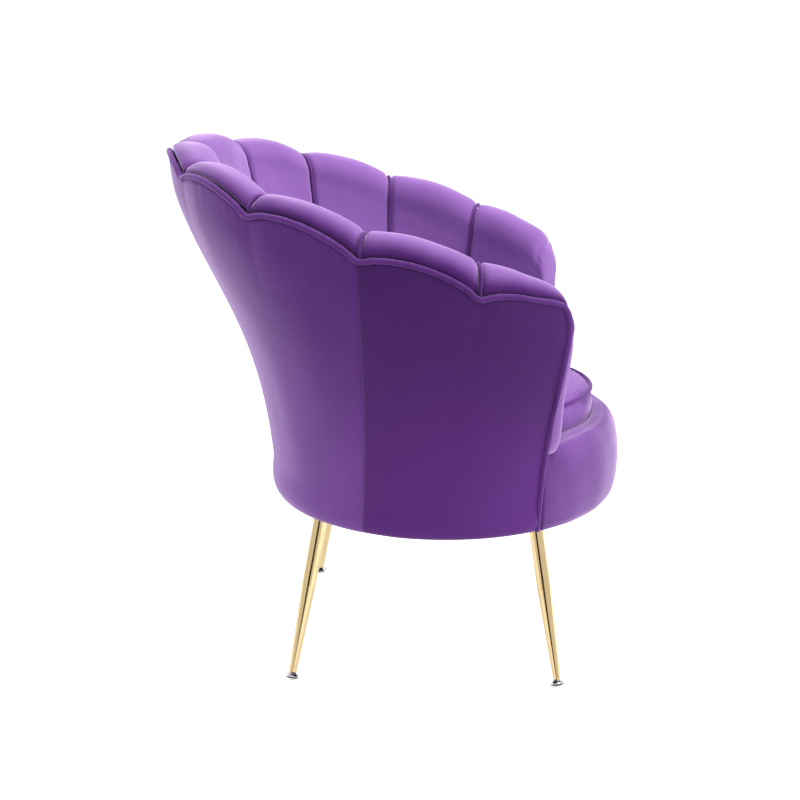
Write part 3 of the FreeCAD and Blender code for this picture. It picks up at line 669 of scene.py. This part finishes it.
def channel_line(u, inset=0.0, ahead=0.0):
    """Closed cross-section of a channel, drawn in by inset: its face, then back up behind it."""
    shape = bpy.context.scene.chair_shape
    run = roll_run(u)
    back = min(PAD_BACK, run[-1][0] - 0.004)
    if ahead > 0.0:
        half = 0.5 * (run[-1][0] + ARM_SPREAD - SKIN_SEAT)
        middle = SKIN_SEAT + half
        kept = max(0.06, 1.0 - inset / half)
        spread = ARM_SPREAD * min(1.0, inset / ARM_ROUND)
        drop = inset * (1.0 + ARM_DROP / ARM_ROUND) / (roll_top(u) - DECK_TOP)
        run = [(middle + (depth - middle + (spread if depth > middle else 0.0)) * kept,
                z - drop * (z - DECK_TOP)) for depth, z in run]
        back = middle - half * kept
    points = [skin(ahead_of_arm(u, ahead, z), z, depth) for depth, z in run]
    face = smooth_line(points, CHANNEL_ROWS[0])
    at_seam = abs(u) <= CHANNELS - 0.5
    seam = shape.tuck * math.exp(-(seam_side(u) / shape.tuck_reach) ** 2) if at_seam else 0.0

    def lift(share):
        return min(1.0, share / 0.05) * (unevenness(u, share) - seam)

    face = raised(face, wall_normal(u), outward(u), lift)
    behind = [skin(ahead_of_arm(u, ahead, z), z, back)
              for z in (DECK_TOP, 0.5 * (DECK_TOP + run[0][1]), run[0][1] - 0.012)]
    return face + smooth_line([face[-1]] + behind + [face[0]], CHANNEL_ROWS[1])[1:]


def channel(side, number):
    """One stuffed channel; the last one of a side is closed by the rounded front of the arm."""
    is_arm = number == CHANNELS
    columns = ARM_COLUMNS if is_arm else CHANNEL_COLUMNS
    start = side * (number - 1)

    def line_at(a):
        if not is_arm:
            return channel_line(start + side * (a - CHANNEL_CROWDING * math.sin(FULL_TURN * a)))
        if a <= ARM_BEND:
            share = a / ARM_BEND
            u = start + side * (share - ARM_CROWDING * math.sin(FULL_TURN * share)) * 0.999
            return channel_line(u)
        front = (a - ARM_BEND) / (1.0 - ARM_BEND)
        turn = 0.25 * FULL_TURN * min(1.0, front / 0.7)
        closing = max(0.0, front - 0.7) / 0.3
        ahead = ARM_REACH * (math.sin(turn) + 0.10 * math.sqrt(closing))
        inset = ARM_ROUND * (1.0 - math.cos(turn)) + 0.016 * closing
        return channel_line(side * (CHANNELS - 0.001), inset, ahead)

    width = CHANNEL_WIDTH * (1.15 if is_arm else 1.0)
    work = grid(columns, sum(CHANNEL_ROWS), line_at, (width, 0.60))
    name = "%s_channel_%d" % ("left" if side < 0 else "right", number)
    return smoothed(finished(work, name, merge=2e-5))


class CHAIR_OT_channels(bpy.types.Operator):
    """Stuffed channels of the back and arms, each with its sewn-in edges"""
    bl_idname = "chair.channels"
    bl_label = "Stuffed channels"

    def execute(self, context):
        # Painted light: the inside velvet is made 1.5 times lighter and paler with painted sheen; painted
        # shade darkens the roll's outer side above the rim cord, and painted light lights its top and
        # inside face.
        finish = velvet("Velvet, inside", velvet_pair(1.5, 0.75), painted_light_span=(0.010, 0.045))
        for side, name in ((-1, "left"), (1, "right")):
            for number in range(1, CHANNELS + 1):
                piece = dressed(channel(side, number), finish)
                nodes = ["channel_pad_%s_%d" % (name, number)]
                if number == CHANNELS:
                    nodes.append("arm_facing_%s" % name)
                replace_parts(piece, *nodes)
        return {"FINISHED"}


def outside_panel(name, start, end, finish, node):
    """Outside cover between two seams, turned under at the bottom and pulled tight at the rim."""
    shape = bpy.context.scene.chair_shape
    columns = PANEL_COLUMNS * abs(end - start)
    overlap = math.copysign(0.004, end - start)

    def line_at(a):
        u = start - overlap + (end - start + 2.0 * overlap) * a
        top = rim_height(u) - 0.002
        under = [skin(u, BODY_BOTTOM, 0.014), skin(u, BODY_BOTTOM, 0.003)]
        low = BODY_BOTTOM + 0.003
        side = [skin(u, low + (top - low) * i / 9.0, 0.0) for i in range(10)]
        line = smooth_line(under + side, PANEL_ROWS)
        edge = min(a, 1.0 - a) * abs(end - start) * CHANNEL_WIDTH
        tuck = 0.0009 * math.exp(-(edge / 0.0020) ** 2)

        def lift(share):
            slow = noise.noise(Vector((u * 2.1, share * 2.2, 12.0)))
            pull = math.exp(-(1.0 - share) / 0.10)
            valley = math.exp(-(seam_side(u) / 0.022) ** 2)
            gather = noise.noise(Vector((u * 22.0, share * 3.0, 4.0)))
            swell = 0.0016 * scallop(u) * math.exp(-((1.0 - share) / 0.22) ** 2)
            wave = 0.0012 * slow + 0.0013 * gather * pull + swell - 0.0015 * valley * pull
            under_cord = 0.0010 * math.exp(-((1.0 - share) / 0.010) ** 2)
            return min(1.0, share / 0.06) * (wave - tuck - under_cord)

        return raised(line, wall_normal(u), outward(u), lift, 0.5)

    middle = line_at(0.5)
    level = valley_height(0.0) - 0.1
    width = line_length([skin(start + (end - start) * i / 60.0, level, 0.0) for i in range(61)])
    work = grid(columns, PANEL_ROWS, line_at, (width, line_length(middle)))
    piece = finished(work, "%s_outside_cover" % name, cap=False)
    face_out(piece)
    solid = piece.modifiers.new("Cover", "SOLIDIFY")
    solid.thickness = shape.cover
    solid.offset = -1.0
    dressed(piece, finish)
    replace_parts(piece, node)
    length = 1.12 * line_length(middle)


def face_out(piece):
    """Turns an open wall's faces away from the middle of the seat."""
    middle = Vector((0.0, BASE_CENTRE_Y, 0.0))
    out = 0.0
    for face in piece.data.polygons:
        away = face.center - middle
        away.z = 0.0
        out += face.normal.dot(away) * face.area
    if out < 0:
        piece.data.flip_normals()


class CHAIR_OT_outside(bpy.types.Operator):
    """Outside back and outside side covers, seamed where the back meets the sides"""
    bl_idname = "chair.outside"
    bl_label = "Outside covers"

    def execute(self, context):
        looks = context.scene.chair_finish
        # Painted light and painted shade: the outside back is made lighter than the sides and paler with
        # painted sheen, and both covers are lighter low down and darker towards the rim.
        back = velvet("Velvet, outside back", velvet_pair(looks.painted_back_light, 0.35), painted_light_span=(0.42, 0.02))
        side = velvet("Velvet, outside side", velvet_pair(), sheen=0.5, painted_light_span=(0.32, 0.02))
        outside_panel("back", -BACK_PANEL_CHANNELS, BACK_PANEL_CHANNELS, back, "outside_back_panel")
        outside_panel("left", -CHANNELS, -BACK_PANEL_CHANNELS, side, "outside_side_panel_left")
        outside_panel("right", BACK_PANEL_CHANNELS, CHANNELS, side, "outside_side_panel_right")
        return {"FINISHED"}


def rim_path(side):
    """Rim cord from the centre back seam to the foot of one arm."""
    stations = 8
    points = []
    for i in range(stations * CHANNELS):
        u = side * i / stations
        points.append(skin(u, cord_height(u) + 0.0006, 0.0005))
    u = side * (CHANNELS - 0.4 * CORNER)
    points.append(skin(u, rim_height(u), 0.0005))
    top = valley_height(CHANNELS) - 0.006
    for i in range(9):
        z = top + (BODY_BOTTOM + 0.001 - top) * (i / 8.0) ** 1.2
        points.append(skin(ahead_of_arm(side * CHANNELS, 0.0010, z), z, 0.001))
    return points


def seam_cord_path(u):
    run = roll_run(u)
    points = [skin(u, z, depth) for depth, z in run]
    line = smooth_line(points, SEAM_CORD_STEPS)
    return raised(line, wall_normal(u), outward(u), lambda share: -0.0014 * min(1.0, share / 0.04))


class CHAIR_OT_welts(bpy.types.Operator):
    """Velvet-covered welt cords of the rim, the arm fronts and the channel seams"""
    bl_idname = "chair.welts"
    bl_label = "Welt cords"

    def execute(self, context):
        shape = context.scene.chair_shape
        # Painted light: the cords' velvet is made 1.2 times lighter and a little paler, as painted sheen.
        finish = velvet("Velvet, cord", velvet_pair(1.2, 0.15), own_map=False, sheen=0.5)
        path = list(reversed(rim_path(-1)[1:])) + rim_path(1)
        rim = finished(tube(smooth_line(path, RIM_CORD_STEPS), shape.rim_cord / 2, 0.10), "rim_welt")
        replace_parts(dressed(rim, finish), "rim_cord")
        cords = []
        for u in range(1 - CHANNELS, CHANNELS):
            cords.append(tube(seam_cord_path(u), shape.seam_cord / 2, 0.08, seed=3.0 * u))
        seams = finished(join_work(cords), "channel_welts")
        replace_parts(dressed(seams, finish), "channel_cords")
        return {"FINISHED"}


def border_line(v):
    """Closed cross-section of the front border at v, which runs from -1 to 1 round the front."""
    angle = 180.0 + BORDER_HALF_ANGLE * v
    bulge = BORDER_BULGE * (1.0 - 0.8 * abs(v) ** 8)
    top = BORDER_TOP - BORDER_END_DROP * abs(v) ** 6
    rise = top - BODY_BOTTOM
    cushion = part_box("cushion_band")
    centre = Vector((0.0, 0.5 * (cushion[0].y + cushion[1].y), 0.0))
    to_band = (base_place(angle, 0.0, 0.0) - centre).length - 0.5 * (cushion[1].x - cushion[0].x)
    lip = min(BORDER_LIP, to_band + 0.001)
    high = max(top, BORDER_TOP - 0.003)
    run = [(-BORDER_BACK, BODY_BOTTOM + 0.0005), (-0.001, BODY_BOTTOM - 0.0002)]
    run += [(out * bulge, BODY_BOTTOM + share * rise) for out, share in (
        (0.35, 0.05), (0.75, 0.18), (1.0, 0.42), (0.90, 0.68), (0.42, 0.88))]
    run += [(-0.0075, top), (-0.45 * lip, 0.4 * top + 0.6 * high), (-0.75 * lip, high),
            (0.0015 - lip, high - 0.002), (0.001 - lip, high - 0.008)]
    line = smooth_line([base_place(angle, out, z) for out, z in run], BORDER_ROWS[0])
    away = base_place(angle, 1.0, 0.0) - base_place(angle, 0.0, 0.0)
    plane = away.cross(Vector((0.0, 0.0, 1.0)))

    def lift(share):
        slow = noise.noise(Vector((v * 5.0, share * 2.5, 21.0)))
        end = math.exp(-(1.0 - abs(v)) / 0.06)
        gather = noise.noise(Vector((v * 3.0, share * 16.0, 5.0)))
        return 0.0012 * slow + 0.0016 * gather * end

    line = raised(line, plane, away, lift, 0.5)
    inner = [base_place(angle, out, z) for out, z in (
        (-0.8 * lip, high - 0.012), (-BORDER_BACK, BODY_BOTTOM + 0.6 * rise),
        (-BORDER_BACK, BODY_BOTTOM + 0.1 * rise))]
    return line + smooth_line([line[-1]] + inner + [line[0]], BORDER_ROWS[1])[1:]


class CHAIR_OT_border(bpy.types.Operator):
    """Padded border round the front of the seat, below the cushion"""
    bl_idname = "chair.border"
    bl_label = "Front border"

    def execute(self, context):
        work = grid(
            BORDER_COLUMNS, sum(BORDER_ROWS), lambda a: border_line(2.0 * a - 1.0), (0.56, 0.22))
        piece = smoothed(finished(work, "front_border"))
        # Painted light: the border's velvet is made 1.3 times lighter and paler with painted sheen.
        dressed(piece, velvet("Velvet, border", velvet_pair(1.3, 0.45)))
        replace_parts(piece, "front_border_cover")
        return {"FINISHED"}


# Seat deck and cushion

def spun(profile, steps):
    """Closed solid turned about Z from (radius, height) places, with both poles closed."""
    work = bmesh.new()
    verts = [work.verts.new((radius, 0.0, z)) for radius, z in profile]
    edges = [work.edges.new(pair) for pair in zip(verts, verts[1:])]
    bmesh.ops.spin(work, geom=verts + edges, cent=(0, 0, 0), axis=(0, 0, 1), angle=FULL_TURN,
                   steps=steps, use_merge=True)
    bmesh.ops.remove_doubles(work, verts=work.verts, dist=1e-5)
    return work


class CHAIR_OT_deck(bpy.types.Operator):
    """Covered foam deck that the cushion lies on"""
    bl_idname = "chair.deck"
    bl_label = "Seat deck"

    def execute(self, context):
        low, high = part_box("deck_foam")
        half = (high - low) / 2
        middle = (high + low) / 2
        profile = [(0.0, low.z), (0.97, low.z), (0.995, low.z + 0.003), (1.0, middle.z),
                   (0.99, high.z - 0.004), (0.965, high.z - 0.0008)]
        profile += [(0.95 * (1.0 - i / 12.0), high.z) for i in range(13)]
        work = spun(profile, DECK_STEPS)
        bmesh.ops.scale(work, verts=work.verts, vec=(half.x, half.y, 1.0))
        bmesh.ops.translate(work, verts=work.verts, vec=(middle.x, middle.y, 0.0))
        piece = smoothed(finished(work, "seat_deck", cap=False))
        dressed(piece, velvet("Velvet, deck", velvet_pair(), own_map=False))
        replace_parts(piece, "deck_foam")
        return {"FINISHED"}


def cushion_profile(radius, low, high, crown):
    """Half section of the cushion from the middle of its underside to the middle of its top."""
    edge = radius - 0.004
    places = (
        (0.0, low + 0.0005), (0.55 * edge, low + 0.0003), (edge - 0.012, low + 0.001),
        (edge - 0.0035, low + 0.003), (edge, low + 0.008), (edge + 0.0035, 0.5 * (low + high)),
        (edge + 0.0005, high - 0.006), (edge - 0.0035, high), (edge - 0.007, high + 0.0035),
        (edge - 0.022, high + 0.009), (0.62 * edge, high + 0.86 * crown), (0.3 * edge, high + crown),
        (0.0, high + 1.01 * crown))
    points = [Vector((x, 0.0, z)) for x, z in places]
    return [(point.x, point.z) for point in smooth_line(points, CUSHION_ROWS)]


class CHAIR_OT_cushion(bpy.types.Operator):
    """Loose round cushion with welted edges; the zip at the back of its band is not made here"""
    bl_idname = "chair.cushion"
    bl_label = "Loose cushion"

    def execute(self, context):
        shape = context.scene.chair_shape
        low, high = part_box("cushion_band")
        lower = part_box("cushion_cord_bottom")
        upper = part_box("cushion_cord_top")
        low_z = lower[0].z
        high_z = 0.5 * (upper[0].z + upper[1].z)
        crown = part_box("cushion_top_panel")[1].z - high_z
        radius = 0.5 * (upper[1].x - upper[0].x)
        centre = Vector((0.0, 0.5 * (low.y + high.y), 0.0))
        work = spun(cushion_profile(radius, low_z, high_z, crown), CUSHION_STEPS)
        for vert in work.verts:
            far = math.hypot(vert.co.x, vert.co.y)
            angle = math.atan2(vert.co.y, vert.co.x)
            slow = noise.noise(Vector((vert.co.x * 9.0, vert.co.y * 9.0, 2.0)))
            rim = math.exp(-(radius - far) / 0.018)
            gather = noise.noise(
                Vector((14.0 * math.cos(angle), 14.0 * math.sin(angle), 1.0 + 60.0 * vert.co.z)))
            if vert.co.z > low_z + 0.006:
                vert.co.z += 0.0016 * slow * (1.0 - rim)
                out = 1.0 + 0.0009 * gather * rim / max(0.02, far)
                vert.co.x *= out
                vert.co.y *= out
        bmesh.ops.translate(work, verts=work.verts, vec=centre)
        piece = smoothed(finished(work, "loose_cushion", cap=False))
        # Painted light: the cushion's velvet is made 1.9 times lighter and paler with painted sheen.
        dressed(piece, velvet("Velvet, cushion", velvet_pair(1.9, 1.1), own_map=False), "cushion")
        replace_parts(piece, "cushion_top_panel", "cushion_band", "cushion_bottom_panel", "cushion_core")
        # Painted light: the cushion cords' velvet is made 1.2 times lighter.
        cord = velvet("Velvet, cushion cord", velvet_pair(1.2), own_map=False, sheen=0.45)
        bottom_z = 0.5 * (lower[0].z + lower[1].z)
        for name, z, node in (("cushion_welt_top", high_z, "cushion_cord_top"),
                              ("cushion_welt_bottom", bottom_z, "cushion_cord_bottom")):
            path = []
            for i in range(361):
                way = turned(i)
                wave = 0.0006 * noise.noise(Vector((3.0 * way.x, 3.0 * way.y, z * 40.0)))
                path.append(centre + way * (radius - 0.0030 + wave) + Vector((0.0, 0.0, z + wave)))
            path[-1] = path[0].copy()
            welt = finished(tube(path, shape.cushion_cord / 2, 0.09, closed=True), name, cap=False)
            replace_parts(dressed(welt, cord, "cushion"), node)
        return {"FINISHED"}


# Metal, frame and stage

class CHAIR_OT_metal(bpy.types.Operator):
    """Finishes of the legs, glides, plates, screws and springs"""
    bl_idname = "chair.metal"
    bl_label = "Metal parts"

    def execute(self, context):
        looks = context.scene.chair_finish
        paint_nodes({
            "gold": plated("Pale gold plating", tuple(looks.gold), 0.10),
            "glide": plated("Bright plating", tuple(looks.chrome), 0.08),
            "steel": plated("Zinc plated steel", (0.50, 0.50, 0.50), 0.32),
            "sole": moulded("Dark moulded sole", (0.020, 0.018, 0.018)),
            "zip": moulded("Zip coil", (0.05, 0.012, 0.11)),
        })
        return {"FINISHED"}


class CHAIR_OT_frame(bpy.types.Operator):
    """Finishes of the plywood frame, the liner, the foam and the black lining"""
    bl_idname = "chair.frame"
    bl_label = "Hidden frame"

    def execute(self, context):
        paint_nodes({"wood": plywood(), "board": fibre_board(), "foam": foam(), "lining": lining(),
                     "velvet": velvet("Velvet, hidden", velvet_pair(), own_map=False)})
        return {"FINISHED"}


def paint_nodes(by_slot):
    for part in frame["record"]["subparts"]:
        finish = by_slot.get(part["material_slot"])
        if finish:
            mesh = frame["nodes"][part["node"]].data
            mesh.materials.clear()
            mesh.materials.append(finish)


class CHAIR_OT_stage(bpy.types.Operator):
    """White floor, soft studio light and a camera at the photograph's viewing angle"""
    bl_idname = "chair.stage"
    bl_label = "Stage"

    def execute(self, context):
        looks = context.scene.chair_finish
        white_world(tuple(looks.background))
        floor(tuple(looks.background))
        dark_card()
        for settings in LAMPS:
            lamp(*settings)
        camera_data = bpy.data.cameras.new("Camera")
        camera_data.sensor_width = 36.0
        camera_data.lens = CAMERA_LENS
        camera = bpy.data.objects.new("Camera", camera_data)
        context.scene.collection.objects.link(camera)
        camera.location = CAMERA_PLACE
        camera.rotation_euler = Vector(CAMERA_AIM).to_track_quat("-Z", "Y").to_euler()
        context.scene.camera = camera
        context.scene.view_settings.view_transform = "Standard"
        return {"FINISHED"}


def lamp(name, place, size, power):
    data = bpy.data.lights.new(name, "AREA")
    data.shape = "DISK"
    data.size = size
    data.energy = power
    made = bpy.data.objects.new(name, data)
    bpy.context.scene.collection.objects.link(made)
    made.location = place
    made.rotation_euler = (LAMP_AIM - Vector(place)).to_track_quat("-Z", "Y").to_euler()


def white_world(colour):
    """Plain background to the camera and in polished metal, softer light on everything else."""
    world = bpy.data.worlds.new("Studio")
    bpy.context.scene.world = world
    world.use_nodes = True
    tree = world.node_tree
    tree.nodes.clear()
    rays = tree.nodes.new("ShaderNodeLightPath")
    seen = tree.nodes.new("ShaderNodeMath")
    seen.operation = "MAXIMUM"
    mirrored = tree.nodes.new("ShaderNodeMath")
    mirrored.operation = "MAXIMUM"
    soft = tree.nodes.new("ShaderNodeBackground")
    soft.inputs["Color"].default_value = (0.93, 0.95, 1.0, 1.0)
    soft.inputs["Strength"].default_value = 0.62
    plain = tree.nodes.new("ShaderNodeBackground")
    plain.inputs["Color"].default_value = (*colour, 1.0)
    mix = tree.nodes.new("ShaderNodeMixShader")
    output = tree.nodes.new("ShaderNodeOutputWorld")
    tree.links.new(rays.outputs["Is Camera Ray"], seen.inputs[0])
    tree.links.new(rays.outputs["Is Glossy Ray"], mirrored.inputs[0])
    tree.links.new(rays.outputs["Is Transmission Ray"], mirrored.inputs[1])
    tree.links.new(mirrored.outputs[0], seen.inputs[1])
    tree.links.new(seen.outputs[0], mix.inputs[0])
    tree.links.new(soft.outputs[0], mix.inputs[1])
    tree.links.new(plain.outputs[0], mix.inputs[2])
    tree.links.new(mix.outputs[0], output.inputs["Surface"])


def floor(colour):
    """Floor that looks white to the camera and still takes the chair's soft shadow."""
    work = bmesh.new()
    bmesh.ops.create_grid(work, x_segments=1, y_segments=1, size=FLOOR_SIZE)
    piece = finished(work, "floor", cap=False)
    finish = Finish("White floor")
    finish.set(Base_Color=shaded(colour, 0.80), Roughness=0.9, Specular_IOR_Level=0.0)
    seen = finish.node("ShaderNodeLightPath")
    mirrored = Value(finish, seen.socket.node.outputs["Is Glossy Ray"])
    finish.set(Emission_Color=finish.mix(seen + mirrored, (0.0, 0.0, 0.0), shaded(colour, 0.60)),
               Emission_Strength=1.0)
    piece.data.materials.append(finish.material)


def dark_card():
    """Dark card beside the camera, which the polished legs reflect as a streak."""
    work = bmesh.new()
    bmesh.ops.create_grid(work, x_segments=1, y_segments=1, size=0.5)
    turn = Matrix.Rotation(math.radians(90.0), 4, "Y")
    bmesh.ops.scale(work, verts=work.verts, vec=CARD_SIZE)
    bmesh.ops.transform(work, verts=work.verts, matrix=Matrix.Translation(CARD_PLACE) @ turn)
    piece = finished(work, "dark_card", cap=False)
    finish = Finish("Dark card")
    finish.set(Base_Color=(0.030, 0.016, 0.008), Roughness=1.0, Specular_IOR_Level=0.0)
    piece.data.materials.append(finish.material)
    piece.visible_camera = False
    piece.visible_diffuse = False
    piece.visible_shadow = False


class CHAIR_PT_builder(bpy.types.Panel):
    bl_label = "Scallop back chair"
    bl_space_type = "VIEW_3D"
    bl_region_type = "UI"
    bl_category = "Chair"

    def draw(self, context):
        for piece in OPERATORS:
            self.layout.operator(piece.bl_idname)


OPERATORS = (
    CHAIR_OT_channels, CHAIR_OT_outside, CHAIR_OT_welts, CHAIR_OT_border, CHAIR_OT_deck,
    CHAIR_OT_cushion, CHAIR_OT_metal, CHAIR_OT_frame, CHAIR_OT_stage,
)
CLASSES = (ChairShape, ChairFinish, *OPERATORS, CHAIR_PT_builder)


def register():
    for kind in CLASSES:
        bpy.utils.register_class(kind)
    bpy.types.Scene.chair_shape = bpy.props.PointerProperty(type=ChairShape)
    bpy.types.Scene.chair_finish = bpy.props.PointerProperty(type=ChairFinish)


def unregister():
    del bpy.types.Scene.chair_finish
    del bpy.types.Scene.chair_shape
    for kind in reversed(CLASSES):
        bpy.utils.unregister_class(kind)


def main():
    register()
    for piece in OPERATORS:
        getattr(bpy.ops.chair, piece.bl_idname.split(".")[1])()


if __name__ == "__main__":
    main()
